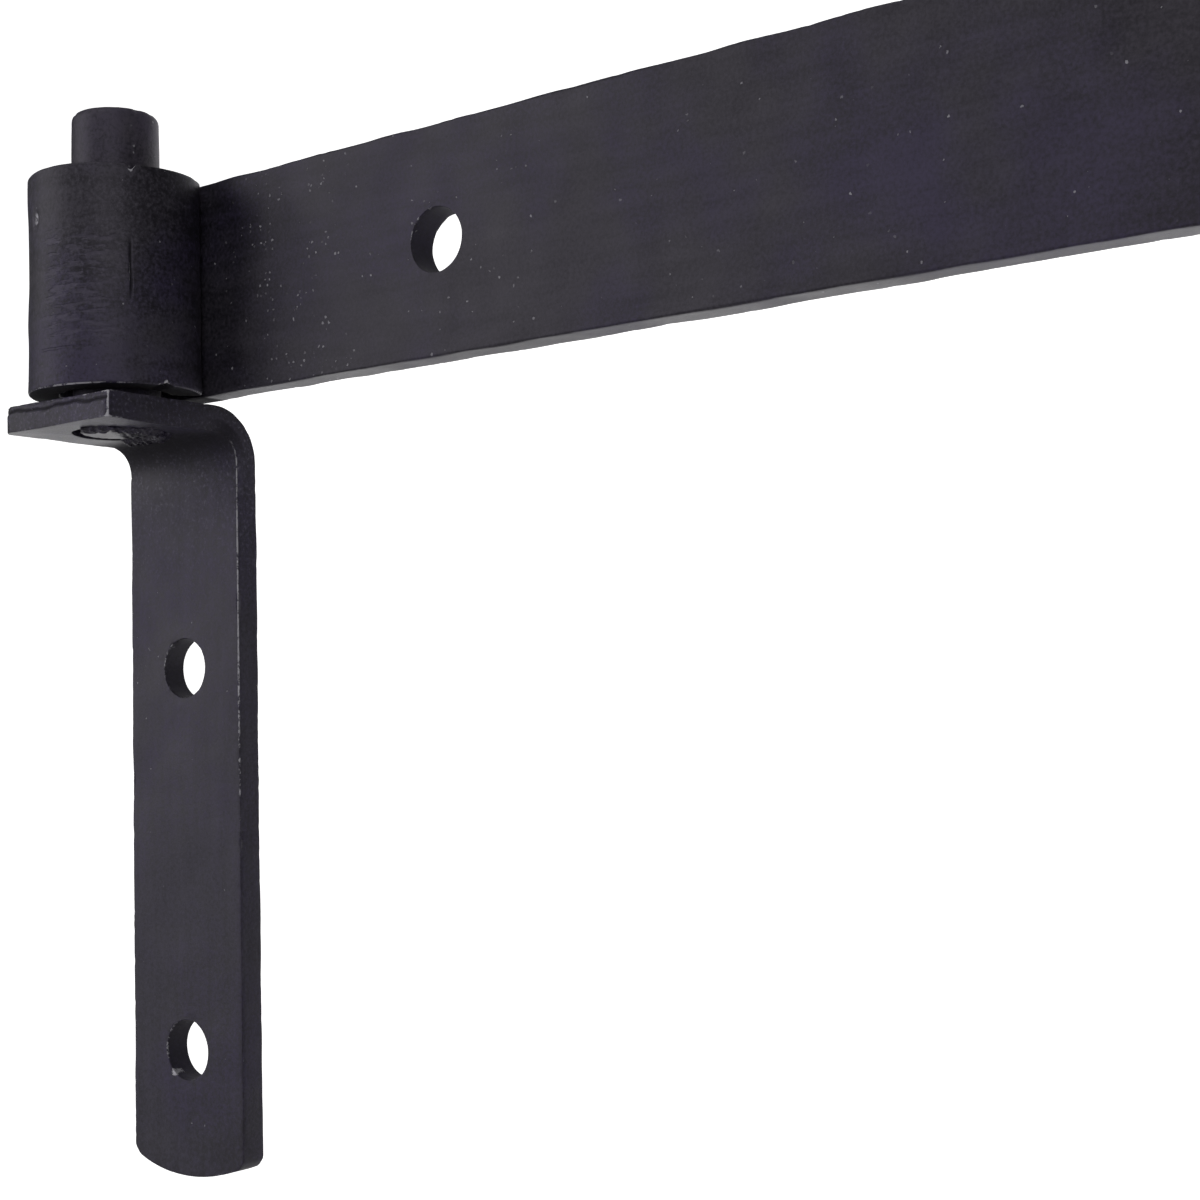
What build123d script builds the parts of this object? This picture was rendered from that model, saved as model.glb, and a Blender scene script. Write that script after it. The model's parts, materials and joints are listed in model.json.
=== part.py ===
from build123d import *
import os
from math import asin, cos, degrees, radians, sin

# Band-and-pintle gate hinge in black forged flat bar.
#
# The bracket is a flat bar bent to an L: a long leg that is screwed to the
# post and a short shelf that sticks out of it.  A round pin stands on the
# shelf and is welded underneath.  The band is a second, wider flat bar whose
# end is rolled into an eye, which drops over the pin and turns on it.
#
# Units are millimetres.  X runs along the closed band, away from the pin,
# Y points into the post and Z is up.  The origin is on the bracket's back
# face, midway between its two screw holes.

# Bracket: 30 x 5 flat bar
plate_width = 30.0
plate_thickness = 5.0
plate_height = 142.8          # shelf's top to the tip of the leg
plate_hole_spacing = 71.5
upper_hole_drop = 48.0        # shelf's top to the upper screw hole
shelf_reach = 35.0            # back face to the shelf's free end
bend_inner_radius = 5.0
tip_sagitta = 3.2             # how far the leg's end bows out
shelf_corner_radius = 1.5
screw_hole_diameter = 11.0

# Pin: 16 round bar through the shelf
pin_diameter = 16.0
pin_standoff = 20.5           # back face to the pin's axis
pin_height = 54.5             # above the shelf
pin_top_chamfer = 1.2
pin_recess = 1.5              # its foot stops this far inside the shelf

# Weld that fills the recess under the pin's foot
weld_crown = 0.5              # how far it stands proud of the shelf

# Band: 40 x 6 flat bar
band_width = 40.0
band_thickness = 6.0
eye_outer_radius = 16.0
eye_lift = 1.7                # running gap between the eye and the shelf
seam_gap = 0.5                # between the rolled end and the band's face
first_hole_x = 70.0
band_hole_spacing = 150.0
band_hole_count = 3
band_end_margin = 30.0        # last hole to the band's tip
band_tip_sagitta = 5.0

band_edge_radius = 0.6        # rolled bar has no sharp edges
plate_edge_radius = 0.5
long_edge = 8.0               # only edges longer than this are rounded
cut_margin = 1.0              # how far a cutting shape reaches past the bar

# Worked out from the sizes above
shelf_top = plate_hole_spacing / 2 + upper_hole_drop
shelf_bottom = shelf_top - plate_thickness
leg_tip = shelf_top - plate_height
pin_y = -pin_standoff
eye_inner_radius = eye_outer_radius - band_thickness
band_back_y = pin_y + eye_outer_radius
band_front_y = band_back_y - band_thickness
band_bottom = shelf_top + eye_lift
band_middle = band_bottom + band_width / 2
band_length = first_hole_x + (band_hole_count - 1) * band_hole_spacing + band_end_margin
last_hole_x = band_length - band_end_margin
# The rolled end stops where its outer corner nearly meets the band's face
seam_angle = degrees(asin((eye_inner_radius - seam_gap) / eye_outer_radius))
rolled_end_angle = 360 + seam_angle
halfway_round = (90 + rolled_end_angle) / 2


def on_pin(x, y):
    """A point given from the pin's axis, in the part's own frame."""
    return (x, pin_y + y)


def on_eye(radius, angle):
    """A point on a circle about the pin's axis."""
    return on_pin(radius * cos(radians(angle)), radius * sin(radians(angle)))


os.makedirs("parts", exist_ok=True)


# Bracket plate: the side profile of the bent bar, as wide as the bar
with BuildPart() as pintle_plate:
    with BuildSketch(Plane.YZ.offset(-plate_width / 2)) as bent_profile:
        with BuildLine():
            outer = FilletPolyline(
                (0, leg_tip),
                (0, shelf_top),
                (-shelf_reach, shelf_top),
                radius=bend_inner_radius + plate_thickness,
            )
            free_end = Line(outer @ 1, (-shelf_reach, shelf_bottom))
            inner = FilletPolyline(
                free_end @ 1,
                (-plate_thickness, shelf_bottom),
                (-plate_thickness, leg_tip),
                radius=bend_inner_radius,
            )
            Line(inner @ 1, outer @ 0)
        make_face()
    extrude(amount=plate_width)

    # The leg's end is cut to a shallow bow
    with BuildSketch(Plane.XZ) as bowed_end:
        with BuildLine():
            bow = ThreePointArc(
                (-plate_width / 2, leg_tip + tip_sagitta),
                (0, leg_tip),
                (plate_width / 2, leg_tip + tip_sagitta),
            )
            Polyline(
                bow @ 1,
                (plate_width / 2 + cut_margin, leg_tip + tip_sagitta),
                (plate_width / 2 + cut_margin, leg_tip - cut_margin),
                (-plate_width / 2 - cut_margin, leg_tip - cut_margin),
                (-plate_width / 2 - cut_margin, leg_tip + tip_sagitta),
                bow @ 0,
            )
        make_face()
    extrude(amount=plate_thickness + cut_margin, both=True, mode=Mode.SUBTRACT)

    # Rounded corners at the shelf's free end
    shelf_corners = pintle_plate.edges().filter_by(Axis.Z).group_by(Axis.Y)[0]
    fillet(shelf_corners, radius=shelf_corner_radius)

    # Broken edges all round both broad faces of the bar
    side_edges = pintle_plate.faces().filter_by(Axis.X).edges()
    fillet(side_edges.filter_by(lambda edge: edge.length > long_edge), radius=plate_edge_radius)

    # Screw holes through the leg
    with Locations(Plane.XZ):
        with GridLocations(1, plate_hole_spacing, 1, 2):
            Hole(screw_hole_diameter / 2)

    # The hole that the pin stands in
    with Locations((0, pin_y, shelf_top)):
        Hole(pin_diameter / 2)
pintle_plate.part.label = "pintle_plate"
export_step(pintle_plate.part, "parts/pintle_plate.step")


# Pin: a round bar that stands in the shelf's hole, chamfered at the top
with BuildPart() as pintle_pin:
    with Locations((0, pin_y, shelf_bottom + pin_recess)):
        Cylinder(
            pin_diameter / 2,
            pin_height + plate_thickness - pin_recess,
            align=(Align.CENTER, Align.CENTER, Align.MIN),
        )
    chamfer(pintle_pin.edges().sort_by(Axis.Z)[-1], length=pin_top_chamfer)
pintle_pin.part.label = "pintle_pin"
export_step(pintle_pin.part, "parts/pintle_pin.step")


# Weld: a low dome of weld metal that fills the hole under the pin's foot
with BuildPart() as pin_weld:
    with BuildSketch(Plane.XZ.offset(pin_standoff)) as weld_profile:
        with BuildLine():
            crown = ThreePointArc(
                (0, shelf_bottom - weld_crown),
                (pin_diameter / 4, shelf_bottom - 0.75 * weld_crown),
                (pin_diameter / 2, shelf_bottom),
            )
            Polyline(
                crown @ 1,
                (pin_diameter / 2, shelf_bottom + pin_recess),
                (0, shelf_bottom + pin_recess),
                crown @ 0,
            )
        make_face()
    revolve(axis=Axis((0, pin_y, 0), (0, 0, 1)))
pin_weld.part.label = "pin_weld"
export_step(pin_weld.part, "parts/pin_weld.step")


# Band: its plan outline, eye and all, as tall as the bar is wide
with BuildPart() as band_strap:
    with BuildSketch(Plane.XY.offset(band_bottom)) as band_profile:
        with BuildLine():
            back = Line((band_length, band_back_y), on_pin(0, eye_outer_radius))
            eye_outside = ThreePointArc(
                back @ 1,
                on_eye(eye_outer_radius, halfway_round),
                on_eye(eye_outer_radius, rolled_end_angle),
            )
            rolled_end = Line(eye_outside @ 1, on_eye(eye_inner_radius, rolled_end_angle))
            eye_inside = ThreePointArc(
                rolled_end @ 1,
                on_eye(eye_inner_radius, halfway_round),
                on_pin(0, eye_inner_radius),
            )
            front = Line(eye_inside @ 1, (band_length, band_front_y))
            Line(front @ 1, back @ 0)
        make_face()
    extrude(amount=band_width)
    outline_edges = band_strap.edges().filter_by(Plane.XY)
    fillet(outline_edges.filter_by(lambda edge: edge.length > long_edge), radius=band_edge_radius)

    # The far end is cut to a shallow bow, like the leg's
    tip_start = band_length - band_tip_sagitta
    with BuildSketch(Plane.XZ.offset(-band_back_y)) as band_tip:
        with BuildLine():
            tip = ThreePointArc(
                (tip_start, band_bottom),
                (band_length, band_middle),
                (tip_start, band_bottom + band_width),
            )
            Polyline(
                tip @ 1,
                (tip_start, band_bottom + band_width + cut_margin),
                (band_length + cut_margin, band_bottom + band_width + cut_margin),
                (band_length + cut_margin, band_bottom - cut_margin),
                (tip_start, band_bottom - cut_margin),
                tip @ 0,
            )
        make_face()
    extrude(amount=band_thickness + cut_margin, both=True, mode=Mode.SUBTRACT)

    # Bolt holes along the band's middle
    hole_row = Plane(
        origin=((first_hole_x + last_hole_x) / 2, band_front_y, band_middle),
        x_dir=(1, 0, 0),
        z_dir=(0, -1, 0),
    )
    with Locations(hole_row):
        with GridLocations(band_hole_spacing, 1, band_hole_count, 1):
            Hole(screw_hole_diameter / 2)
band_strap.part.label = "band_strap"
export_step(band_strap.part, "parts/band_strap.step")
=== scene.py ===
# %% [markdown]
# # A band and pintle hinge
#
# A gate hinge of black iron has two halves.  The bracket is a flat bar bent
# to an L, with a round pin welded into its short shelf.  The band is a wider
# flat bar whose end is rolled into an eye that drops over the pin.  The CAD
# frame says where every piece sits and what turns on what.  Here each piece
# is made again as a smith would make it, with the soft edges, dents, nicks
# and chipped coating that a drawing leaves out.

# %% Load the frame
import json
import math

import bmesh
import bpy
from mathutils import Matrix, Vector


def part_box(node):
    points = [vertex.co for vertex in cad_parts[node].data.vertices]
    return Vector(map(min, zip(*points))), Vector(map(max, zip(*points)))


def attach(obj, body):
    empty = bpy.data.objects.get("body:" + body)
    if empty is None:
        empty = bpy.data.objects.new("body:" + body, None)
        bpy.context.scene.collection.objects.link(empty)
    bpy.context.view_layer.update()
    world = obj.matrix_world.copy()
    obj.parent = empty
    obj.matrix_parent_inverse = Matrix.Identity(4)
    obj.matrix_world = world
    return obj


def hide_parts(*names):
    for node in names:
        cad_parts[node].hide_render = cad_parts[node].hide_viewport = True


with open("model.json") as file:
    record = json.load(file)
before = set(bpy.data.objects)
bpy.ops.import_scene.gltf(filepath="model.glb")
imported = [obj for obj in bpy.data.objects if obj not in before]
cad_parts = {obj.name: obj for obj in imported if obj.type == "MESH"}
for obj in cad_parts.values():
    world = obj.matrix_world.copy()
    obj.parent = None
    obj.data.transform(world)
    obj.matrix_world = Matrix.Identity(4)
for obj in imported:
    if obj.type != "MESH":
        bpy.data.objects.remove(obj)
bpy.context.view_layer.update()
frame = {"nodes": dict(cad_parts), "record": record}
MM = 0.001
mounts = {mount["name"]: mount for mount in frame["record"]["mounts"]}
print("nodes:", sorted(frame["nodes"]), "mounts:", sorted(mounts))

# %% [markdown]
# ## Sizes
#
# Nothing is measured twice.  The CAD boxes give the outer sizes, the mounts
# give the holes, and only what a box can't say, such as how thick the bar is
# inside a bend, is named here.

# %% Sizes from the frame
band_low, band_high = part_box("band_strap")
plate_low, plate_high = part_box("pintle_plate")
pin_low, pin_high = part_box("pintle_pin")
pin_x = (pin_low.x + pin_high.x) / 2
pin_y = (pin_low.y + pin_high.y) / 2
pin_radius = (pin_high.x - pin_low.x) / 2

hole_radius = mounts["plate_holes"]["dims"]["hole_r_mm"] * MM
band_thickness = mounts["band_middle_hole"]["dims"]["length_mm"] * MM
band_width = band_high.z - band_low.z
eye_radius = pin_x - band_low.x
band_neutral_radius = eye_radius - band_thickness / 2

plate_thickness = 5 * MM
plate_width = plate_high.x - plate_low.x
plate_bend_inside = 5 * MM
plate_neutral_radius = plate_bend_inside + plate_thickness / 2
shelf_bottom = plate_high.z - plate_thickness
quarter = math.pi / 2
bend_line_z = plate_high.z - plate_bend_inside - plate_thickness
bend_centre_y = plate_high.y - plate_thickness - plate_bend_inside
bend_run = quarter * plate_neutral_radius
plate_start = -(bend_run + bend_centre_y - plate_low.y)
print("band", round(band_width / MM, 2), "x", band_thickness / MM, "mm")
print("plate", round(plate_width / MM, 2), "x", plate_thickness / MM, "mm")
print("eye radius", round(eye_radius / MM, 2), "mm, pin radius", round(pin_radius / MM, 2), "mm")

# %% [markdown]
# ## A flat bar with holes
#
# Both halves start as a length of flat bar with holes drilled in it, so one
# function makes both.  A boolean would cut the holes more quickly, but it
# leaves long thin faces that dent and shade badly.  Instead the bar is a grid
# of square cells, and round each hole a block of cells is swapped for rings
# that turn from a square into a circle.
#
# The bar lies flat: x runs along it, z across it and y through it.

# %% A sheet of cells
CELL = 0.8 * MM
HOLE_RINGS = (0, 0.14, 0.3, 0.5, 0.74, 1)


def spaced(stops, step):
    """Places between each pair of stops, evenly spaced and at most a step apart."""
    places = [stops[0]]
    for start, end in zip(stops, stops[1:]):
        count = max(1, math.ceil((end - start) / step - 1e-6))
        places += [start + (end - start) * i / count for i in range(1, count + 1)]
    return places


class Sheet:
    """A flat mesh whose points are shared where they meet."""

    def __init__(self):
        self.points = []
        self.faces = []
        self.seen = {}

    def point(self, x, z):
        key = (round(x * 1e7), round(z * 1e7))
        if key not in self.seen:
            self.seen[key] = len(self.points)
            self.points.append((x, z))
        return self.seen[key]

    def rim(self):
        """The edges that only one face uses, each in that face's direction."""
        edges = {(a, b) for face in self.faces for a, b in zip(face, face[1:] + face[:1])}
        return sorted(edge for edge in edges if edge[::-1] not in edges)


def ring_patch(sheet, centre, radius, half, cells):
    """Rings of faces from a square of cells down to a round hole."""
    side = [-half + 2 * half * i / cells for i in range(cells)]
    square = [(s, -half) for s in side] + [(half, s) for s in side]
    square += [(-s, half) for s in side] + [(-half, -s) for s in side]
    rings = []
    for step in HOLE_RINGS:
        ring = []
        for x, z in square:
            reach = math.hypot(x, z)
            scale = radius / reach * (1 - step) + step
            ring.append(sheet.point(centre + x * scale, z * scale))
        rings.append(ring)
    for inner, outer in zip(rings, rings[1:]):
        for i in range(len(square)):
            j = (i + 1) % len(square)
            sheet.faces.append([outer[i], outer[j], inner[j], inner[i]])


def drilled_sheet(start, end, width, holes, fine=()):
    """A grid of cells from start to end, with a ring patch round each (x, radius) hole.

    Each (from, to, step) in fine is a stretch that gets narrower columns.
    """
    rows = 2 * round(width / CELL / 2)
    cell = width / rows
    patches = []
    for x, radius in sorted(holes):
        cells = 2 * math.ceil(radius * 1.3 / cell)
        patches.append((x, radius, cells * cell / 2, cells))
    stops = [start, end]
    for x, _, half, _ in patches:
        stops += [x - half, x + half]
    narrow = []
    for low, high, step in fine:
        narrow += spaced([low, high], step)
        stops += [low, high]
    columns = sorted({round(x, 7) for x in spaced(sorted(stops), cell) + narrow})
    sheet = Sheet()
    for left, right in zip(columns, columns[1:]):
        middle = (left + right) / 2
        for row in range(rows):
            low = -width / 2 + row * cell
            if any(abs(middle - x) < half and abs(low + cell / 2) < half for x, _, half, _ in patches):
                continue
            corners = [(left, low), (right, low), (right, low + cell), (left, low + cell)]
            sheet.faces.append([sheet.point(*corner) for corner in corners])
    for x, radius, half, cells in patches:
        ring_patch(sheet, x, radius, half, cells)
    return sheet


print("cells of", CELL / MM, "mm,", len(HOLE_RINGS) - 1, "rings round each hole")

# %% [markdown]
# ## From sheet to bar
#
# The sheet becomes a bar when it gets a second face and a wall round every
# rim.  Solidify would do that, but here the wall needs rows of points at
# chosen depths, so that a torn edge can be pulled out of it later.  Then the
# edges are rounded, the outer ones more than the drilled ones.
#
# Each point also notes how far it is from an edge, because that is where a
# coat wears first, and whether it lies inside a hole, where shade is painted.

# %% Walls, edges and marks
HOLE_EDGE = 0.2 * MM
SHARP_ANGLE = math.radians(55)
HOLE_SHADE = 0.6
CREASE_SHADE_DEPTH = 0.3 * MM


def new_piece(name, verts, faces):
    """A smooth-shaded object in the scene, made from points and faces."""
    mesh = bpy.data.meshes.new(name)
    mesh.from_pydata(verts, [], faces)
    for face in mesh.polygons:
        face.use_smooth = True
    piece = bpy.data.objects.new(name, mesh)
    bpy.context.scene.collection.objects.link(piece)
    return piece


def thick_bar(name, sheet, thickness, reshape, inner_depths, edge_radius, holes):
    """A closed bar from a flat sheet: two faces, walls round every rim, and softened edges."""
    outline = [reshape(x, z) for x, z in sheet.points]
    depths = [-thickness / 2, *inner_depths, thickness / 2]
    layers = len(depths) - 1
    verts = [(x, depths[0], z) for x, z in outline] + [(x, depths[-1], z) for x, z in outline]
    count = len(outline)
    faces = list(sheet.faces) + [[i + count for i in reversed(face)] for face in sheet.faces]
    rim = sheet.rim()
    column = {}
    for a, _ in rim:
        x, z = outline[a]
        column[a] = [a] + [len(verts) + i for i in range(layers - 1)] + [a + count]
        verts += [(x, depth, z) for depth in inner_depths]
    for a, b in rim:
        for layer in range(layers):
            faces.append([column[b][layer], column[a][layer], column[a][layer + 1], column[b][layer + 1]])
    bar = new_piece(name, verts, faces)

    def at_hole(edge):
        place = edge.verts[0].co
        return any(math.hypot(place.x - x, place.z) < radius * 1.02 for x, radius in holes)

    shaped = bmesh.new()
    shaped.from_mesh(bar.data)
    for radius, drilled in ((edge_radius, False), (HOLE_EDGE, True)):
        sharp = [edge for edge in shaped.edges if edge.calc_face_angle(0) > SHARP_ANGLE]
        sharp = [edge for edge in sharp if at_hole(edge) == drilled]
        bmesh.ops.bevel(
            shaped, geom=sharp, offset=radius, segments=3, profile=0.5, affect="EDGES", clamp_overlap=True
        )
    for face in shaped.faces:
        face.smooth = True
    shaped.to_mesh(bar.data)
    shaped.free()
    return bar


def mark_values(bar):
    """The values of a bar's three marks, one for each point."""
    return [bar.data.attributes[title].data for title in ("rim", "painted_shade", "rubbed")]


def raise_to(value, least):
    """Raises a point's mark, so that the strongest of several marks wins."""
    value.value = max(value.value, least)


def mark_rims(bar, start, end_at, width, thickness, holes):
    """Stores rim, how far each point is from an edge, and painted shade, which darkens the walls of the
    holes.
    """
    for title in ("rim", "painted_shade", "rubbed"):
        bar.data.attributes.new(title, "FLOAT", "POINT")
    rim, painted_shade, _ = mark_values(bar)
    for index, vert in enumerate(bar.data.vertices):
        x, y, z = vert.co
        from_side = max(width / 2 - abs(z), 0)
        from_end = max(min(x - start, end_at(z) - x), 0)
        from_face = thickness / 2 - abs(y)
        from_hole = min(math.hypot(x - hole_x, z) - radius for hole_x, radius in holes)
        inset = min(from_side, from_end, max(from_hole, 0))
        rim[index].value = min(math.hypot(inset, from_face), math.hypot(from_side, from_end))
        # Painted shade on the walls of the holes.
        painted_shade[index].value = HOLE_SHADE * (1 - min(max(from_hole, 0) / HOLE_EDGE, 1))


def paint_hole_highlights(bar, holes, toward_x, toward_z):
    """Paints a highlight on the front rim of each hole, on the side that (toward_x, toward_z) points to."""
    rubbed = mark_values(bar)[2]
    for index, vert in enumerate(bar.data.vertices):
        x, y, z = vert.co
        for hole_x, radius in holes:
            reach = math.hypot(x - hole_x, z)
            if y < 0 and reach < radius + 1 * MM:
                facing = ((x - hole_x) * toward_x + z * toward_z) / reach
                raise_to(rubbed[index], 0.7 * facing)


def press(bar, how_deep, thickness, crease_shade):
    """Pushes the face at positive y in as deep as how_deep(x, z), with painted shade where the last function
    gives a crease.
    """
    painted_shade = mark_values(bar)[1]
    for index, vert in enumerate(bar.data.vertices):
        x, y, z = vert.co
        if y > thickness / 2 - 0.1 * MM:
            vert.co.y -= how_deep(x, z)
            raise_to(painted_shade[index], min(crease_shade(x, z) / CREASE_SHADE_DEPTH, 1))


print("holes are softened by", HOLE_EDGE / MM, "mm")

# %% [markdown]
# ## Bending the bar
#
# A smith rolls the eye and bends the shelf with the same idea: past one line
# the bar leaves its straight path and follows a circle.  The middle of its
# thickness keeps its length, the outside stretches and the inside shrinks.
#
# Geometry Nodes say this as a rule.  Everything at positive x stays.  At
# negative x the distance along the bar, divided by the radius, is the angle
# turned.  Past the full angle the bar runs on straight.  One tree with two
# sizes makes both the eye and the shelf.  The flat place of each point is
# stored first, so that the finish can follow the bar round the bend.

# %% Helpers for node trees
def add_node(tree, kind, inputs, **settings):
    """A node with its settings made, and each input linked to a socket or given a value."""
    node = tree.nodes.new(kind)
    for title, value in settings.items():
        setattr(node, title, value)
    for key, value in inputs.items():
        if isinstance(value, bpy.types.NodeSocket):
            tree.links.new(value, node.inputs[key])
        else:
            node.inputs[key].default_value = value
    return node


def math_node(tree, operation, *inputs):
    return add_node(tree, "ShaderNodeMath", dict(enumerate(inputs)), operation=operation).outputs[0]


def times(tree, *factors):
    product = factors[0]
    for factor in factors[1:]:
        product = math_node(tree, "MULTIPLY", product, factor)
    return product


def add_up(tree, *terms):
    total = terms[0]
    for term in terms[1:]:
        total = math_node(tree, "ADD", total, term)
    return total


def minus(tree, value, taken):
    return math_node(tree, "SUBTRACT", value, taken)


def one_over(tree, size):
    return math_node(tree, "DIVIDE", 1, size)


def split(tree, vector):
    return add_node(tree, "ShaderNodeSeparateXYZ", {0: vector}).outputs


def join(tree, x, y, z):
    return add_node(tree, "ShaderNodeCombineXYZ", {0: x, 1: y, 2: z}).outputs[0]


def noise(tree, vector, scale, detail=2.0, roughness=0.5):
    inputs = {"Vector": vector, "Scale": scale, "Detail": detail, "Roughness": roughness}
    return add_node(tree, "ShaderNodeTexNoise", inputs).outputs["Fac"]


def ramp(tree, value, low, high, to_low=0.0, to_high=1.0, smooth=True):
    """Maps low..high to to_low..to_high, without going past either end."""
    inputs = {"Value": value, "From Min": low, "From Max": high, "To Min": to_low, "To Max": to_high}
    kind = "SMOOTHSTEP" if smooth else "LINEAR"
    return add_node(tree, "ShaderNodeMapRange", inputs, interpolation_type=kind).outputs["Result"]


def number_sockets(**defaults):
    """Sockets for numbers: chip_size=0.002 makes the socket Chip Size."""
    return [(title.replace("_", " ").title(), "NodeSocketFloat", value) for title, value in defaults.items()]


def new_tree(name, kind, inputs, outputs):
    """An empty node group with named sockets: (name, type, default)."""
    tree = bpy.data.node_groups.new(name, kind)
    for direction, sockets in (("INPUT", inputs), ("OUTPUT", outputs)):
        for title, socket_type, default in sockets:
            socket = tree.interface.new_socket(name=title, in_out=direction, socket_type=socket_type)
            if default is not None:
                socket.default_value = default
    group_in = tree.nodes.new("NodeGroupInput")
    group_out = tree.nodes.new("NodeGroupOutput")
    return tree, group_in.outputs, group_out.inputs


GEOMETRY = [("Geometry", "NodeSocketGeometry", None)]
FINISH = [("Finish", "NodeSocketMaterial", None)]
print("sockets every tree has:", [title for title, _, _ in GEOMETRY + FINISH])


# %% The bending tree
def bending_tree():
    sizes = GEOMETRY + number_sockets(radius=0.01, angle=1.57)
    tree, given, result = new_tree("bend_the_bar", "GeometryNodeTree", sizes, GEOMETRY)
    radius = given["Radius"]
    place = tree.nodes.new("GeometryNodeInputPosition").outputs[0]
    flat = {"Geometry": given["Geometry"], "Name": "flat", "Value": place}
    marked = add_node(
        tree, "GeometryNodeStoreNamedAttribute", flat, data_type="FLOAT_VECTOR", domain="POINT"
    )
    x, y, z = split(tree, place)
    straight = math_node(tree, "MAXIMUM", x, 0)
    past_line = math_node(tree, "MAXIMUM", times(tree, x, -1), 0)
    turned = math_node(tree, "MINIMUM", math_node(tree, "DIVIDE", past_line, radius), given["Angle"])
    run_on = minus(tree, past_line, times(tree, turned, radius))
    reach = add_up(tree, radius, y)
    sine = math_node(tree, "SINE", turned)
    cosine = math_node(tree, "COSINE", turned)
    along = minus(tree, straight, times(tree, reach, sine))
    along = minus(tree, along, times(tree, run_on, cosine))
    out = minus(tree, times(tree, reach, cosine), radius)
    out = minus(tree, out, times(tree, run_on, sine))
    bent = {"Geometry": marked.outputs["Geometry"], "Position": join(tree, along, out, z)}
    move = add_node(tree, "GeometryNodeSetPosition", bent)
    tree.links.new(move.outputs[0], result["Geometry"])
    return tree


bend_the_bar = bending_tree()
print("bend_the_bar:", len(bend_the_bar.nodes), "nodes")

# %% [markdown]
# ## Hammer marks and nicks
#
# Hot iron is never flat.  Its faces swell and sink by a tenth of a
# millimetre, and its edges carry small nicks from shears and handling.  A
# Subdivision modifier with sculpting could do it by hand, but noise that
# pushes points inwards along their normals gives the same look from four
# sizes, and never makes the piece larger than its drawing.


# %% The hammering tree
def push_along_normal(tree, geometry, distance):
    normal = tree.nodes.new("GeometryNodeInputNormal").outputs[0]
    push = add_node(tree, "ShaderNodeVectorMath", {0: normal, "Scale": distance}, operation="SCALE")
    moving = {"Geometry": geometry, "Offset": push.outputs[0]}
    return add_node(tree, "GeometryNodeSetPosition", moving).outputs[0]


def coat_result(tree, geometry, given, result):
    """Ends a tree: gives the geometry its finish and puts it out."""
    coat = add_node(tree, "GeometryNodeSetMaterial", {"Geometry": geometry, "Material": given["Finish"]})
    tree.links.new(coat.outputs[0], result["Geometry"])


def hammering_tree():
    sizes = number_sockets(dent_depth=0.0002, dent_size=0.02, nick_depth=0.0003, nick_size=0.003, seed=0.0)
    tree, given, result = new_tree("hammer_and_nick", "GeometryNodeTree", GEOMETRY + sizes + FINISH, GEOMETRY)
    place = tree.nodes.new("GeometryNodeInputPosition").outputs[0]
    sample = add_node(tree, "ShaderNodeVectorMath", {0: place, 1: given["Seed"]}, operation="ADD").outputs[0]
    dents = noise(tree, sample, one_over(tree, given["Dent Size"]), detail=1.0)
    dents = times(tree, ramp(tree, dents, 0.3, 0.7), given["Dent Depth"])
    nicks = noise(tree, sample, one_over(tree, given["Nick Size"]), detail=2.0)
    rim = add_node(tree, "GeometryNodeInputNamedAttribute", {"Name": "rim"}, data_type="FLOAT")
    near_edge = ramp(tree, rim.outputs["Attribute"], 0.4 * MM, 1.5 * MM, 1.0, 0.0)
    nicks = times(tree, ramp(tree, nicks, 0.5, 0.75), near_edge, given["Nick Depth"])
    pushed = push_along_normal(tree, given["Geometry"], times(tree, add_up(tree, dents, nicks), -1))
    whole = add_node(tree, "GeometryNodeRealizeInstances", {0: pushed}).outputs[0]
    coat_result(tree, whole, given, result)
    return tree


def add_tree(piece, tree, **values):
    """Puts a Geometry Nodes tree on a piece, with its inputs set by name."""
    modifier = piece.modifiers.new(tree.name, "NODES")
    modifier.node_group = tree
    for socket in tree.interface.items_tree:
        title = socket.name.lower().replace(" ", "_")
        if socket.in_out == "INPUT" and title in values:
            modifier[socket.identifier] = values[title]


def bake(piece):
    """Turns a piece and its modifiers into a plain mesh with no modifiers."""
    bpy.context.view_layer.update()
    evaluated = piece.evaluated_get(bpy.context.evaluated_depsgraph_get())
    mesh = bpy.data.meshes.new_from_object(evaluated)
    piece.modifiers.clear()
    piece.data = mesh
    print(piece.name, len(mesh.vertices), "points", len(mesh.polygons), "faces")


hammer_and_nick = hammering_tree()


def hammer(piece, finish, dent_depth, dent_size, nick_depth, nick_size, seed):
    """Dents and nicks a piece, with sizes in millimetres, and bakes it."""
    add_tree(
        piece,
        hammer_and_nick,
        dent_depth=dent_depth * MM,
        dent_size=dent_size * MM,
        nick_depth=nick_depth * MM,
        nick_size=nick_size * MM,
        seed=seed,
        finish=finish,
    )
    bake(piece)


print("hammer_and_nick:", len(hammer_and_nick.nodes), "nodes")

# %% [markdown]
# ## The finish
#
# The whole hinge has one finish, a satin black coating over mill scale, and
# each piece wears it differently.  Four effects are node groups, built once
# and placed in each material with their own values: the grain of the coat,
# the wear and painted highlights along the edges, the pits and specks of the
# scale under it, and the ripples that the hammer left on the eye.  Painted
# images could show them too, but they would need an unwrapped mesh and would
# blur close up.
#
# The materials read four attributes of the points: flat says where a point
# was on the straight bar, rim how far it is from an edge, one mark how much
# extra wear and painted highlight it gets, and one how much painted shade
# darkens and dulls it.


# %% Groups for the coat
def object_place(tree):
    return tree.nodes.new("ShaderNodeTexCoord").outputs["Object"]


def attribute(tree, title):
    return add_node(tree, "ShaderNodeAttribute", {}, attribute_name=title).outputs


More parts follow.
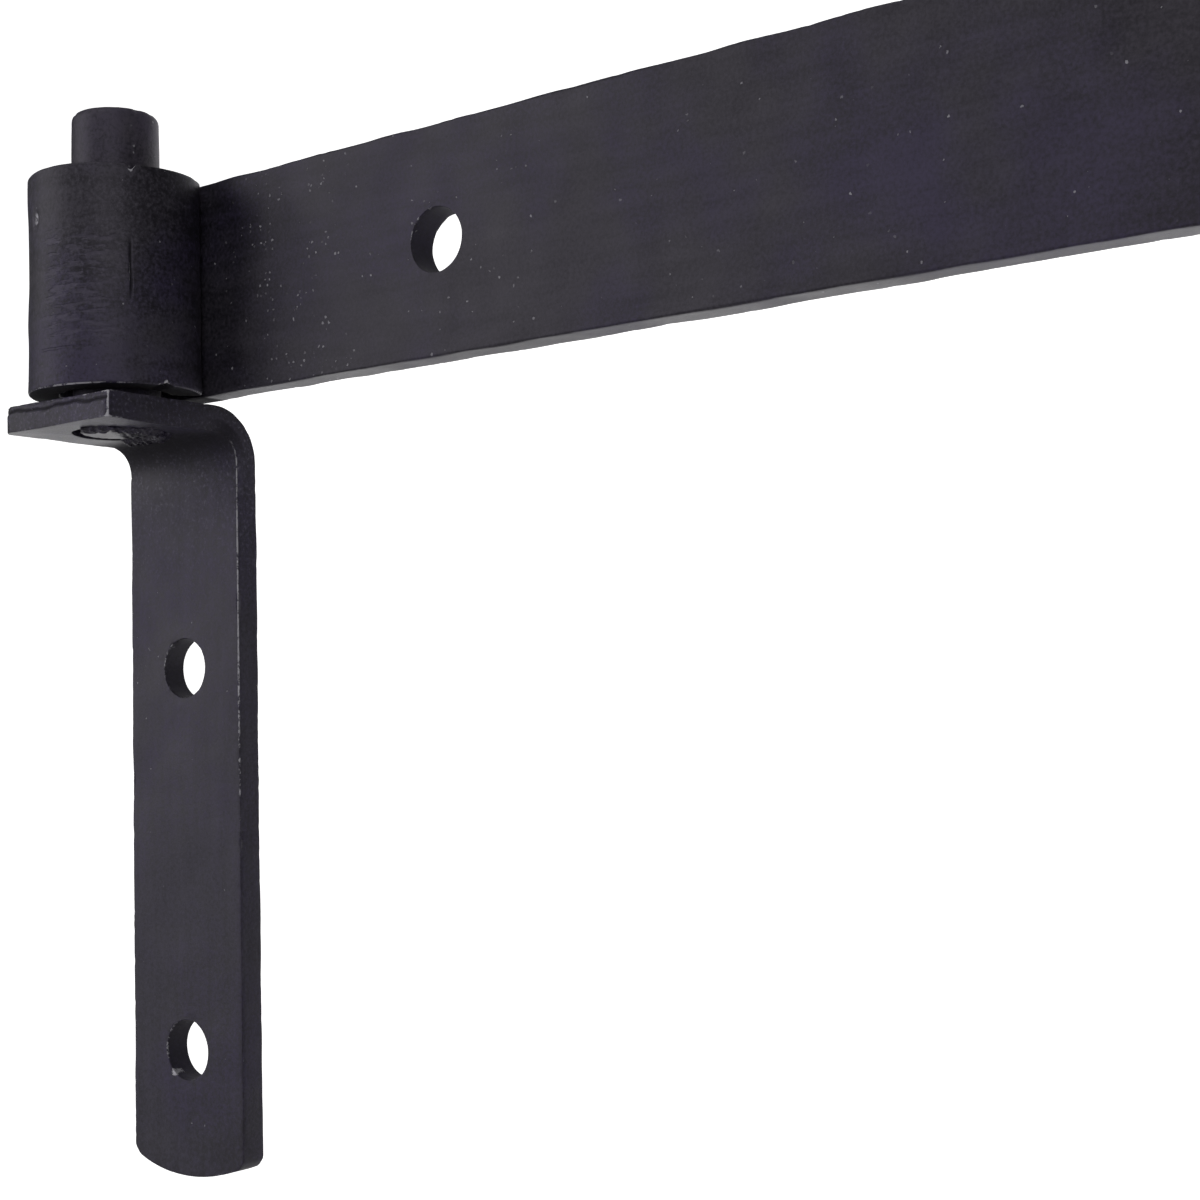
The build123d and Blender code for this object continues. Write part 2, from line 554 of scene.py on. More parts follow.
def coat_grain_group():
    """Fine orange peel, slow mottling, drawn-out smears, and where the iron was heated to bend."""
    inputs = number_sockets(grain_size=0.0006, cloud_size=0.03)
    outputs = number_sockets(height=None, clouds=None, smears=None, heated=None, hue=None)
    tree, given, result = new_tree("coat_grain", "ShaderNodeTree", inputs, outputs)
    place = object_place(tree)
    per_grain = one_over(tree, given["Grain Size"])
    per_cloud = one_over(tree, given["Cloud Size"])
    per_hue = math_node(tree, "DIVIDE", 0.8, given["Cloud Size"])
    x, y, z = split(tree, attribute(tree, "flat")["Vector"])
    drawn_out = join(tree, times(tree, x, 0.12), y, z)
    hue = noise(tree, place, per_hue, detail=4.0, roughness=0.6)
    parts = {
        "Height": noise(tree, place, per_grain, detail=4.0, roughness=0.65),
        "Clouds": noise(tree, place, per_cloud, detail=5.0, roughness=0.55),
        "Smears": noise(tree, drawn_out, 420.0, detail=4.0, roughness=0.6),
        "Heated": ramp(tree, x, -4 * MM, 30 * MM, 1.0, 0.0),
        "Hue": ramp(tree, hue, 0.4, 0.6),
    }
    for title, value in parts.items():
        tree.links.new(value, result[title])
    return tree


def edge_wear_and_highlight_group():
    """Where the coat has chipped off near an edge, and where a per-point mark adds real marks and painted
    highlights.
    """
    inputs = number_sockets(reach=0.0004, amount=0.3, rubbed=0.5, chip_size=0.002)
    tree, given, result = new_tree("edge_wear", "ShaderNodeTree", inputs, number_sockets(mask=None))
    rim = attribute(tree, "rim")["Fac"]
    rubbed = times(tree, attribute(tree, "rubbed")["Fac"], given["Rubbed"])
    amount = add_up(tree, given["Amount"], rubbed)
    per_chip = one_over(tree, given["Chip Size"])
    chips = noise(tree, object_place(tree), per_chip, detail=5.0, roughness=0.7)
    line = ramp(tree, rim, times(tree, given["Reach"], 0.55), given["Reach"], 1.0, 0.0)
    limit = minus(tree, 0.85, times(tree, amount, 0.55))
    mask = ramp(tree, chips, limit, add_up(tree, limit, 0.12))
    tree.links.new(times(tree, mask, line), result["Mask"])
    return tree


def scale_specks_group():
    """Small pits in the scale and pale, ragged specks where it has flaked, most of them near the eye."""
    inputs = number_sockets(spacing=0.002, amount=0.3, cluster=0.4)
    outputs = number_sockets(specks=None, pits=None)
    tree, given, result = new_tree("scale_specks", "ShaderNodeTree", inputs, outputs)
    place = object_place(tree)
    x = split(tree, attribute(tree, "flat")["Vector"])[0]
    near_eye = times(tree, ramp(tree, x, 14 * MM, 30 * MM), ramp(tree, x, 60 * MM, 42 * MM))
    elsewhere = ramp(tree, x, -10 * MM, 0.0, 0.03, 0.1)
    patchy = ramp(tree, noise(tree, place, 160.0, detail=2.0), 0.4, 0.54)
    cluster = times(tree, math_node(tree, "MAXIMUM", near_eye, elsewhere), patchy, given["Cluster"])
    amount = add_up(tree, given["Amount"], cluster)
    wobble = add_node(tree, "ShaderNodeTexNoise", {"Vector": place, "Scale": 2300.0}).outputs["Color"]
    shift = (0.6 * MM, 0.6 * MM, 0.6 * MM)
    ragged = add_node(tree, "ShaderNodeVectorMath", {0: wobble, 1: shift, 2: place}, operation="MULTIPLY_ADD")
    per_speck = one_over(tree, given["Spacing"])
    cells = add_node(tree, "ShaderNodeTexVoronoi", {"Vector": ragged.outputs[0], "Scale": per_speck}).outputs
    lottery = split(tree, cells["Color"])
    chosen = math_node(tree, "LESS_THAN", lottery[0], amount)
    size = ramp(tree, lottery[1], 0.0, 1.0, 0.09, 0.24, smooth=False)
    pits = times(tree, math_node(tree, "LESS_THAN", cells["Distance"], size), chosen)
    strength = ramp(tree, lottery[2], 0.1, 0.9, 1.0, 0.0, smooth=False)
    tree.links.new(times(tree, pits, strength), result["Specks"])
    tree.links.new(pits, result["Pits"])
    return tree


def hammer_ripples_group():
    """Short ripples across the eye, left by the hammer that closed it, and one long scratch."""
    outputs = number_sockets(height=None, mask=None)
    tree, given, result = new_tree("hammer_ripples", "ShaderNodeTree", number_sockets(depth=0.00012), outputs)
    flat = attribute(tree, "flat")["Vector"]
    x, y, z = split(tree, flat)
    stretched = join(tree, times(tree, x, 0.3), y, z)
    patch = times(
        tree,
        ramp(tree, x, -55 * MM, -49 * MM),
        ramp(tree, x, -38 * MM, -43 * MM),
        ramp(tree, z, 11 * MM, 6 * MM),
        ramp(tree, z, -14 * MM, -10 * MM),
    )
    ripples = times(tree, ramp(tree, noise(tree, stretched, 1000.0, detail=3.0), 0.46, 0.62), patch)
    wander = times(tree, noise(tree, flat, 300.0), 0.6 * MM)
    off_line = math_node(tree, "ABSOLUTE", add_up(tree, z, 12.9 * MM, wander))
    scratch = times(
        tree,
        ramp(tree, off_line, 0.3 * MM, 0.1 * MM),
        ramp(tree, x, -50 * MM, -47 * MM),
        ramp(tree, x, -38.5 * MM, -40.5 * MM),
    )
    depth = times(tree, add_up(tree, ripples, scratch), times(tree, given["Depth"], -1))
    tree.links.new(depth, result["Height"])
    tree.links.new(ripples, result["Mask"])
    return tree


coat_grain = coat_grain_group()
edge_wear = edge_wear_and_highlight_group()
scale_specks = scale_specks_group()
hammer_ripples = hammer_ripples_group()
print("groups:", [group.name for group in (coat_grain, edge_wear, scale_specks, hammer_ripples)])

# %% [markdown]
# ## A coat of black
#
# One function makes all four materials.  It lays the colours one over the
# other: the coat, painted glints and the bare specks, a painted highlight on
# the hammer ripples, the worn edges with painted highlights, and painted
# shade last.  The same masks then set how rough the surface is and how its
# height changes.

# %% Colours of the coat
IRON_DARK = (0.0055, 0.0050, 0.0075)
IRON_COOL = (0.0365, 0.0290, 0.0640)
IRON_GREY = (0.0390, 0.0355, 0.0460)
LEG_COOL = (0.0335, 0.0255, 0.0640)
LEG_GREY = (0.0355, 0.0320, 0.0500)
PIN_DARK = (0.0140, 0.0120, 0.0190)
PIN_COOL = (0.0470, 0.0385, 0.0680)
PIN_GREY = (0.0550, 0.0490, 0.0610)
BARE_AND_HIGHLIGHT = (0.46, 0.45, 0.49)
RIPPLE_HIGHLIGHT = (0.085, 0.075, 0.110)
WARM = (0.0310, 0.0240, 0.0250)
SHADE_COLOUR = (0.0045, 0.0040, 0.0050)
COOL_SHINE = (0.92, 0.86, 1.0, 1)
MIDDLE_TONE = 0.925
PIT_DEPTH = 0.06 * MM
CHIP_DEPTH = 0.04 * MM
print("the coat's dark and light are", IRON_DARK, "and", IRON_GREY)


# %% A coat of black
def place_group(tree, group, **values):
    node = tree.nodes.new("ShaderNodeGroup")
    node.node_tree = group
    for socket in node.inputs:
        title = socket.name.lower().replace(" ", "_")
        if title in values:
            socket.default_value = values[title]
    return node.outputs


def blend_colours(tree, mask, first, second):
    """Mixes two colours, given as sockets or as (r, g, b), by a mask."""
    blending = {"Factor": mask, 6: first, 7: second}
    for key in (6, 7):
        if not isinstance(blending[key], bpy.types.NodeSocket):
            blending[key] = (*blending[key], 1)
    return add_node(tree, "ShaderNodeMix", blending, data_type="RGBA").outputs[2]


def black_coat(name, dark, cool, grey, wear, specks, painted_glint, roughness, grain_depth, marks=None):
    """Satin black coating: mottled colour, fine grain, chipped edges, pits, specks, painted glints, painted
    highlights and painted shade.
    """
    material = bpy.data.materials.new(name)
    material.use_nodes = True
    tree = material.node_tree
    shader = tree.nodes["Principled BSDF"]
    grain = place_group(tree, coat_grain, grain_size=0.65 * MM, cloud_size=28 * MM)
    worn_and_highlit = place_group(tree, edge_wear, **wear)["Mask"]
    scale = place_group(tree, scale_specks, **specks)
    painted_shade = attribute(tree, "painted_shade")["Fac"]
    along = split(tree, attribute(tree, "flat")["Vector"])[0]

    tone = times(tree, grain["Clouds"], 0.6)
    tone = add_up(tree, tone, times(tree, grain["Smears"], 0.35), times(tree, grain["Height"], 0.9))
    light = blend_colours(tree, grain["Hue"], cool, grey)
    contrast = ramp(tree, grain["Heated"], 0.0, 1.0, 0.27, 0.15)
    deepest = minus(tree, MIDDLE_TONE, contrast)
    palest = add_up(tree, MIDDLE_TONE, contrast)
    colour = blend_colours(tree, ramp(tree, tone, deepest, palest), dark, light)
    far_end = times(tree, ramp(tree, along, 160 * MM, 360 * MM), 0.7)
    colour = blend_colours(tree, far_end, colour, WARM)
    # Painted glints: bright grains near the bend that stand in for sparkle.
    painted_glints = times(tree, ramp(tree, grain["Height"], 0.56, 0.68), grain["Heated"], painted_glint)
    colour = blend_colours(tree, painted_glints, colour, BARE_AND_HIGHLIGHT)
    colour = blend_colours(tree, times(tree, scale["Specks"], 0.6), colour, BARE_AND_HIGHLIGHT)
    if marks:
        marked = place_group(tree, marks)
        # Painted highlight on the hammer ripples, in a pale violet.
        colour = blend_colours(tree, times(tree, marked["Mask"], 0.42), colour, RIPPLE_HIGHLIGHT)
    # Chipped edges and marks in bare-metal colour, with painted highlights on chosen edges and hole rims.
    colour = blend_colours(tree, worn_and_highlit, colour, BARE_AND_HIGHLIGHT)
    # Painted shade last: creases, hole walls, the eye's underside and shaded faces darkened.
    colour = blend_colours(tree, times(tree, painted_shade, 0.9), colour, SHADE_COLOUR)
    tree.links.new(colour, shader.inputs["Base Color"])

    shader.inputs["Specular Tint"].default_value = COOL_SHINE
    patches = add_up(tree, grain["Clouds"], times(tree, grain["Height"], 0.4))
    rough = ramp(tree, patches, 0.5, 0.9, roughness - 0.07, roughness + 0.08)
    rough = minus(tree, rough, times(tree, worn_and_highlit, 0.12))
    rough = add_up(tree, rough, times(tree, painted_shade, 0.45))
    tree.links.new(rough, shader.inputs["Roughness"])

    coarse = add_up(tree, 1, times(tree, grain["Heated"], 0.9))
    height = add_up(
        tree,
        times(tree, grain["Height"], grain_depth, coarse),
        times(tree, grain["Smears"], grain_depth * 0.6),
        times(tree, scale["Pits"], -PIT_DEPTH),
        times(tree, worn_and_highlit, -CHIP_DEPTH),
    )
    if marks:
        height = add_up(tree, height, marked["Height"])
    bump = add_node(tree, "ShaderNodeBump", {"Strength": 1.0, "Distance": 1.0, "Height": height})
    tree.links.new(bump.outputs[0], shader.inputs["Normal"])
    return material


band_black = black_coat(
    "band_black",
    IRON_DARK,
    IRON_COOL,
    IRON_GREY,
    wear={"reach": 0.4 * MM, "amount": 0.30, "rubbed": 0.5, "chip_size": 1.2 * MM},
    specks={"spacing": 1.0 * MM, "amount": 0.02, "cluster": 1.0},
    painted_glint=0.03,
    roughness=0.48,
    grain_depth=0.036 * MM,
    marks=hammer_ripples,
)
plate_black = black_coat(
    "plate_black",
    IRON_DARK,
    LEG_COOL,
    LEG_GREY,
    wear={"reach": 0.4 * MM, "amount": 0.26, "rubbed": 0.6, "chip_size": 0.9 * MM},
    specks={"spacing": 1.2 * MM, "amount": 0.008, "cluster": 0.15},
    painted_glint=0.16,
    roughness=0.46,
    grain_depth=0.042 * MM,
)
pin_black = black_coat(
    "pin_black",
    PIN_DARK,
    PIN_COOL,
    PIN_GREY,
    wear={"reach": 0.8 * MM, "amount": 0.30, "chip_size": 1.5 * MM},
    specks={"spacing": 1.1 * MM, "amount": 0.16, "cluster": 0.0},
    painted_glint=0.0,
    roughness=0.5,
    grain_depth=0.03 * MM,
)
weld_black = black_coat(
    "weld_black",
    IRON_DARK,
    IRON_COOL,
    IRON_GREY,
    wear={"reach": 0.4 * MM, "amount": 0.1, "chip_size": 1.2 * MM},
    specks={"spacing": 1.2 * MM, "amount": 0.15, "cluster": 0.0},
    painted_glint=0.12,
    roughness=0.46,
    grain_depth=0.03 * MM,
)
print("finishes:", [material.name for material in (band_black, plate_black, pin_black, weld_black)])

# %% [markdown]
# ## The band
#
# The band is cut, its end bowed and its bolt holes drilled while it is flat.
# Later its last stretch is rolled into the eye, which closes until the cut
# end nearly touches the band's face.  That open line is the seam, and its gap
# sets how far round the roll goes and so how much bar it takes.


# %% Cut and drill the band
def bowed(length, width, sagitta, taper):
    """A shallow bow cut on a bar's end: how it moves a point, and where the end is at z."""
    radius = (width * width / 4 + sagitta * sagitta) / (2 * sagitta)

    def drop(z):
        return radius - math.sqrt(radius * radius - z * z)

    def reshape(x, z):
        share = min(max((x - (length - taper)) / taper, 0), 1)
        return x - drop(z) * share, z

    def end_at(z):
        return length - drop(z)

    return reshape, end_at


seam_gap = 0.5 * MM
seam_angle = math.asin((eye_radius - band_thickness - seam_gap) / eye_radius)
eye_turn = 1.5 * math.pi + seam_angle
rolled_length = eye_turn * band_neutral_radius
band_length = band_high.x - pin_x
outer = mounts["band_outer_holes"]
middle_x = outer["pos_m"][0]
half_row = outer["dims"]["spacing_x_mm"] * MM / 2
band_holes = [(middle_x + side * half_row, hole_radius) for side in (-1, 0, 1)]

crack_x = -54.4 * MM
ding_x = -37.8 * MM
chip_x = -60.0 * MM
crack_depth = 0.6 * MM
ding_depth = 0.45 * MM
notch_depth = 1.0 * MM
waist_depth = 0.22 * MM
fine_columns = [
    (crack_x - 0.9 * MM, crack_x + 0.9 * MM, 0.15 * MM),
    (ding_x - 1.5 * MM, ding_x + 1.5 * MM, 0.3 * MM),
]
bow_band, band_end_at = bowed(band_length, band_width, 5 * MM, 18 * MM)
half_width = band_width / 2
band_layers = [share * band_thickness for share in (-0.3, -0.1, 0.1, 0.3)]
band_sheet = drilled_sheet(-rolled_length, band_length, band_width, band_holes, fine_columns)
band = thick_bar("band_with_eye", band_sheet, band_thickness, bow_band, band_layers, 0.6 * MM, band_holes)
mark_rims(band, -rolled_length, band_end_at, band_width, band_thickness, band_holes)
paint_hole_highlights(band, band_holes, -0.8, 0.6)
print("rolled length", round(rolled_length / MM, 1), "mm")

# %% [markdown]
# ## Marks on the eye
#
# The eye has had a hard life: a crack where the bar was stretched, a dent, a
# notch and a chip in its rims, and a slight waist from the rolls.  Sculpting
# could add them by hand.  Here each is a small formula on the flat bar, where
# a place is easy to name, and the roll then carries them round.


# %% Marks on the eye
def bell(distance, reach):
    """1 at no distance, falling smoothly to 0 at reach."""
    share = min(abs(distance) / reach, 1)
    return (1 - share * share) ** 2


def along_crack(z):
    """1 along the crack, falling to 0 at its two ends."""
    return bell(z - 0.8 * MM, 5.6 * MM) ** 0.5


def crack(x, z):
    wander = 0.05 * MM * math.sin(z / (1.9 * MM))
    return crack_depth * bell(x - crack_x - wander, 0.18 * MM) * along_crack(z)


def ding(x, z):
    return ding_depth * bell(math.hypot((x - ding_x) / 1.3, (z - 11.3 * MM) / 2.2), 1 * MM)


def waist(x, z):
    """The rolls pinch the middle of the eye a little."""
    rolled = min(max(-x / (20 * MM), 0), 1)
    return waist_depth * rolled * bell(z, half_width)


def all_marks(x, z):
    return waist(x, z) + ding(x, z) + crack(x, z)


# The crack gets painted shade in its hollow.
press(band, all_marks, band_thickness, crack)
rim, painted_shade, rubbed = mark_values(band)
for index, vert in enumerate(band.data.vertices):
    x, y, z = vert.co
    outside = y > 0
    notch = bell(x - crack_x, 0.9 * MM) * max(1 - (half_width - z) / (2 * MM), 0) * outside
    chip = bell(x - chip_x, 1.3 * MM) * max(1 - (half_width + z) / (2 * MM), 0) * outside
    vert.co.z += notch_depth * (chip * 0.7 - notch)
    lip = 0.8 * bell(x - crack_x - 0.2 * MM, 0.14 * MM) * along_crack(z) * outside
    marked = max(0.65 * ding(x, z) / ding_depth * outside, notch, chip, lip)
    if marked > 0.05:
        rim[index].value = min(rim[index].value, 0.5 * MM * (1 - marked))
    at_bottom = outside and x < 0 and z < -half_width + 1 * MM
    bottom_rim = (0.5 + 0.5 * bell(x + 46 * MM, 11 * MM)) * at_bottom
    raise_to(rubbed[index], max(bottom_rim, min(marked * 2, 1)))
    # Painted shade on the eye's bottom face, where it sits over the shelf.
    if x < 12 * MM and z < -half_width + 0.05 * MM:
        painted_shade[index].value = 1.0
print("marks pressed into the eye at", crack_x / MM, "and", ding_x / MM, "mm")

# %% [markdown]
# ## Roll the eye
#
# The bending tree rolls the marked bar, and the hammering tree roughens it.
# The angle is larger than a full turn, so the bar curls until it ends.  The
# mesh, not the object, is then moved to the pin, because patterns on Object
# coordinates must not slide.


# %% Roll the eye and put the band in place
MORE_THAN_A_TURN = 10.0


def settle(piece, matrix):
    """Moves a piece's points, so that its object stays at the origin."""
    piece.data.transform(matrix)
    piece.data.update()


add_tree(band, bend_the_bar, radius=band_neutral_radius, angle=MORE_THAN_A_TURN)
hammer(band, band_black, dent_depth=0.25, dent_size=14, nick_depth=0.10, nick_size=2.5, seed=3.0)
band_centre_z = (band_low.z + band_high.z) / 2
settle(band, Matrix.Translation((pin_x, pin_y + band_neutral_radius, band_centre_z)))

# %% [markdown]
# ## The plate
#
# The plate is narrower bar, with a bowed tip and four corners rounded on a
# grinder, each to its own size.  The corner cells of the grid are pulled into
# a quarter circle, which keeps them whole, where a boolean would cut them.


# %% Cut and drill the plate
def rounded_corner(x, z, end, width, radius):
    """Pulls the square corners at one end of a bar into quarter circles."""
    a = (end + radius - x) / radius
    b = (abs(z) - (width / 2 - radius)) / radius
    if a <= 0 or b <= 0:
        return x, z
    round_a = a * math.sqrt(1 - b * b / 2)
    round_b = b * math.sqrt(1 - a * a / 2)
    return end + radius - round_a * radius, math.copysign(width / 2 - radius + round_b * radius, z)


plate_end = bend_line_z - plate_low.z
half_holes = mounts["plate_holes"]["dims"]["spacing_y_mm"] * MM / 2
leg_holes = [(bend_line_z + below * half_holes, hole_radius) for below in (1, -1)]
pin_hole = (-(bend_run + bend_centre_y - pin_y), pin_radius + 0.05 * MM)
plate_holes = leg_holes + [pin_hole]
bow_leg, leg_end_at = bowed(plate_end, plate_width, 3.2 * MM, 14 * MM)


def plate_outline(x, z):
    x, z = bow_leg(x, z)
    flipped_x, z = rounded_corner(-x, z, -leg_end_at(z), plate_width, 1.6 * MM)
    corner_radius = 0.9 * MM if z > 0 else 2.6 * MM
    return rounded_corner(-flipped_x, z, plate_start, plate_width, corner_radius)


plate_layers = [depth * MM for depth in (-1.5, -0.5, 0.2, 0.6, 0.85, 1.1, 1.35, 1.6, 1.9)]
plate_sheet = drilled_sheet(plate_start, plate_end, plate_width, plate_holes)
plate_rounding = 0.5 * MM
plate = thick_bar(
    "bent_plate", plate_sheet, plate_thickness, plate_outline, plate_layers, plate_rounding, plate_holes
)
mark_rims(plate, plate_start, leg_end_at, plate_width, plate_thickness, plate_holes)
paint_hole_highlights(plate, leg_holes, -0.3, -0.95)
print("plate with", len(plate_holes), "holes")

# %% [markdown]
# ## The sheared end of the shelf
#
# Shears cut a thick bar only part of the way, and the rest tears.  The shelf's
# end shows it: a wandering torn line above the middle, and a lip that leans
# out over it.  The rows of points in the wall are pulled out to make both.
# The same loop paints highlights along the leg's front edge and the top of
# the shelf's end, painted highlight with wear at the end corner, and painted
# shade under the bend, along the right side and in the torn line.


# %% The sheared end of the shelf
def shear_line(z):
    """How high above the middle the torn line runs, wandering from side to side."""
    return 1.2 * MM + 0.2 * MM * math.sin(z / (2.3 * MM)) + 0.12 * MM * math.sin(z / (0.9 * MM) + 1)


def portion(value, whole):
    """How much of the whole a value is, between 0 and 1."""
    return min(max(value / whole, 0), 1)


burr_x = leg_holes[0][0] + 4.4 * MM
burr_z = -3.6 * MM
tear_width = 0.4 * MM
tear_depth = 0.4 * MM
lip_reach = 0.9 * MM
side = plate_width / 2
rim, painted_shade, rubbed = mark_values(plate)
for index, vert in enumerate(plate.data.vertices):
    x, y, z = vert.co
    from_end = x - plate_start
    from_corner = math.hypot(from_end, z - side)

    # Painted highlight along the leg's front edge and the top of the shelf's end, and painted highlight with
    # wear at the end corner, all laid through the wear mark.
    leg_edge = portion(z, 10 * MM) * portion(-y, 2 * MM) * (0.3 + 0.7 * portion(x + 10 * MM, 11 * MM))
    leg_edge *= 1 - 0.8 * portion(x - 35 * MM, 45 * MM)
    end_corner = bell(from_corner, 6 * MM)
    top_edge = 0.7 * portion(z + 12 * MM, 20 * MM) * (from_end < 0.6 * MM) * (y > 1.9 * MM)
    raise_to(rubbed[index], max(leg_edge, end_corner, top_edge))
    if from_corner < 0.6 * MM:
        rim[index].value = min(rim[index].value, max(from_corner - 0.36 * MM, 0))

    # Painted shadow under the shelf near the bend, and painted shade on the right side face, strongest along
    # the shelf.
    painted_shadow = 0.9 * bell(x + 8 * MM, 11 * MM) * portion(0.5 * MM - y, 1 * MM)
    shaded_side = (0.45 - 0.33 * portion(x + 8 * MM, 8 * MM)) * (z > side - 0.2 * MM)
    raise_to(painted_shade[index], max(painted_shadow, shaded_side))

    burr = bell(math.hypot(x - burr_x, z - burr_z), 1.7 * MM) * (y < 0)
    if burr > 0.05:
        rim[index].value = min(rim[index].value, 0.5 * MM * (1 - burr))
        raise_to(rubbed[index], burr)

    on_end = bell(max(from_end, 0), 3 * MM) if abs(z) < side - 0.6 * MM else 0
    above = y - shear_line(z)
    torn = bell(above, tear_width) * on_end
    lip = max(above, 0) / (plate_thickness / 2) * on_end
    vert.co.x += tear_depth * torn + lip_reach * lip
    # Painted shade in the torn line.
    if from_end < 0.3 * MM:
        raise_to(painted_shade[index], torn)
print("shelf end torn", round(shear_line(0) / MM, 2), "mm above the middle")

# %% [markdown]
# ## Bend the plate
#
# The bending tree that rolled the eye now turns the shelf a quarter.  The bar
# lay flat, so it is then stood up by a quarter turn about Y.

# %% Bend the plate and stand it up
add_tree(plate, bend_the_bar, radius=plate_neutral_radius, angle=quarter)
hammer(plate, plate_black, dent_depth=0.15, dent_size=12, nick_depth=0.12, nick_size=1.8, seed=7.0)
upright = Matrix.Rotation(quarter, 4, "Y")
plate_place = Matrix.Translation((0, plate_high.y - plate_thickness / 2, bend_line_z))
settle(plate, plate_place @ upright)

# %% [markdown]
# ## The pin
#
# The pin is a length of round bar, parted off in the lathe with its top edge
# turned over.  Its side is one outline spun about the axis.  A cylinder with
# a bevel has the same shape, but here the side comes in short steps, so that
# the dents and nicks have points to move.


# %% Turn the pin
def turned(name, outline, segments):
    """A closed solid spun from (radius, height) points, listed from bottom to top."""
    verts = [(0, 0, outline[0][1])]
    for radius, height in outline:
        for i in range(segments):
            angle = math.tau * i / segments
            verts.append((radius * math.cos(angle), radius * math.sin(angle), height))
    verts.append((0, 0, outline[-1][1]))
    faces = []
    for i in range(segments):
        j = (i + 1) % segments
        faces.append([0, 1 + j, 1 + i])
        for ring in range(len(outline) - 1):
            low = 1 + ring * segments
            faces.append([low + i, low + j, low + segments + j, low + segments + i])
        top = 1 + (len(outline) - 1) * segments
        faces.append([len(verts) - 1, top + i, top + j])
    return new_piece(name, verts, faces)


def rounded_end(radius, height, corner, steps=5):
    """Points round a turned-over edge, from the side to the end face."""
    points = []
    for i in range(steps + 1):
        angle = quarter * i / steps
        across = radius - corner + corner * math.cos(angle)
        points.append((across, height - corner + corner * math.sin(angle)))
    return points


pin_length = pin_high.z - pin_low.z
corner = 1.4 * MM
pin_outline = [(radius, -height) for radius, height in reversed(rounded_end(pin_radius, 0, 0.5 * MM))]
pin_outline += [(pin_radius, z) for z in spaced([1 * MM, pin_length - corner], 1 * MM)[:-1]]
pin_outline += rounded_end(pin_radius, pin_length, corner)
pin_outline += [(pin_radius * share, pin_length) for share in (0.6, 0.35, 0.12)]
pin = turned("pin", pin_outline, 96)
pin_rim = pin.data.attributes.new("rim", "FLOAT", "POINT")
for vert, value in zip(pin.data.vertices, pin_rim.data):
    value.value = math.hypot(pin_length - vert.co.z, pin_radius - math.hypot(vert.co.x, vert.co.y))
hammer(pin, pin_black, dent_depth=0.1, dent_size=7, nick_depth=0.4, nick_size=1.8, seed=11.0)
settle(pin, Matrix.Translation((pin_x, pin_y, pin_low.z)))

# %% [markdown]
# ## The weld
#
# Under the shelf a bead of weld holds the pin's foot.  A bead is a row of
# puddles, each frozen over the edge of the last, so Geometry Nodes set a blob
# at every step round the hole, each a little different, and then fuse them
# into one skin through a volume.  The welder left one side open, so the bead
# is an arc, and the metal inside it sits off centre and leaves a dark gap.


# %% The weld bead tree
BEAD_VOXEL = 0.22 * MM


def random_vector(tree, low, high, seed):
    limits = {"Min": low, "Max": high, "Seed": seed}
    return add_node(tree, "FunctionNodeRandomValue", limits, data_type="FLOAT_VECTOR").outputs[0]


def weld_tree():
    sizes = number_sockets(ring_radius=0.008, bead_radius=0.0016, start=0.0, sweep=6.28)
    sizes += [("Puddles", "NodeSocketInt", 26), ("Seed", "NodeSocketInt", 4)]
    tree, given, result = new_tree("weld_bead", "GeometryNodeTree", GEOMETRY + sizes + FINISH, GEOMETRY)
    arc = {"Radius": given["Ring Radius"], "Start Angle": given["Start"], "Sweep Angle": given["Sweep"]}
    ring = add_node(tree, "GeometryNodeCurveArc", {"Resolution": 64, **arc}).outputs[0]
    steps = {"Curve": ring, "Count": given["Puddles"]}
    points = add_node(tree, "GeometryNodeCurveToPoints", steps).outputs[0]
    low, high = (-0.4 * MM, -0.4 * MM, -0.2 * MM), (0.4 * MM, 0.4 * MM, 0.3 * MM)
    jitter = random_vector(tree, low, high, given["Seed"])
    shaken = add_node(tree, "GeometryNodeSetPosition", {"Geometry": points, "Offset": jitter}).outputs[0]
    ball = {"Radius": given["Bead Radius"], "Subdivisions": 3}
    puddle = add_node(tree, "GeometryNodeMeshIcoSphere", ball).outputs[0]
    growth = random_vector(tree, (0.75, 0.75, 0.5), (1.25, 1.25, 0.9), given["Seed"])
    copies = {"Points": shaken, "Instance": puddle, "Scale": growth}
    row = add_node(tree, "GeometryNodeInstanceOnPoints", copies).outputs[0]
    both = tree.nodes.new("GeometryNodeJoinGeometry")
    tree.links.new(row, both.inputs[0])
    tree.links.new(given["Geometry"], both.inputs[0])
    whole = add_node(tree, "GeometryNodeRealizeInstances", {0: both.outputs[0]}).outputs[0]

    filling = {0: whole, "Voxel Size": BEAD_VOXEL, "Interior Band Width": 1 * MM}
    volume = add_node(tree, "GeometryNodeMeshToVolume", filling, resolution_mode="VOXEL_SIZE").outputs[0]
    wrapping = {0: volume, "Voxel Size": BEAD_VOXEL, "Threshold": 0.1}
    skin = add_node(tree, "GeometryNodeVolumeToMesh", wrapping, resolution_mode="VOXEL_SIZE").outputs[0]

    place = tree.nodes.new("GeometryNodeInputPosition").outputs[0]
    x, y, _ = split(tree, place)
    squares = add_up(tree, math_node(tree, "POWER", x, 2.0), math_node(tree, "POWER", y, 2.0))
    on_bead = ramp(tree, math_node(tree, "SQRT", squares), 5.5 * MM, 7 * MM)
    closed_side = ramp(tree, add_up(tree, x, times(tree, y, 0.7)), -1 * MM, 1.5 * MM)
    churned = math_node(tree, "MAXIMUM", on_bead, closed_side)
    wrinkle = ramp(tree, noise(tree, place, 900.0, detail=3.0), 0.35, 0.7, 0.0, -0.4 * MM)
    rough_skin = push_along_normal(tree, skin, times(tree, wrinkle, churned))
    smooth = add_node(tree, "GeometryNodeSetShadeSmooth", {0: rough_skin}).outputs[0]
    coat_result(tree, smooth, given, result)
    return tree


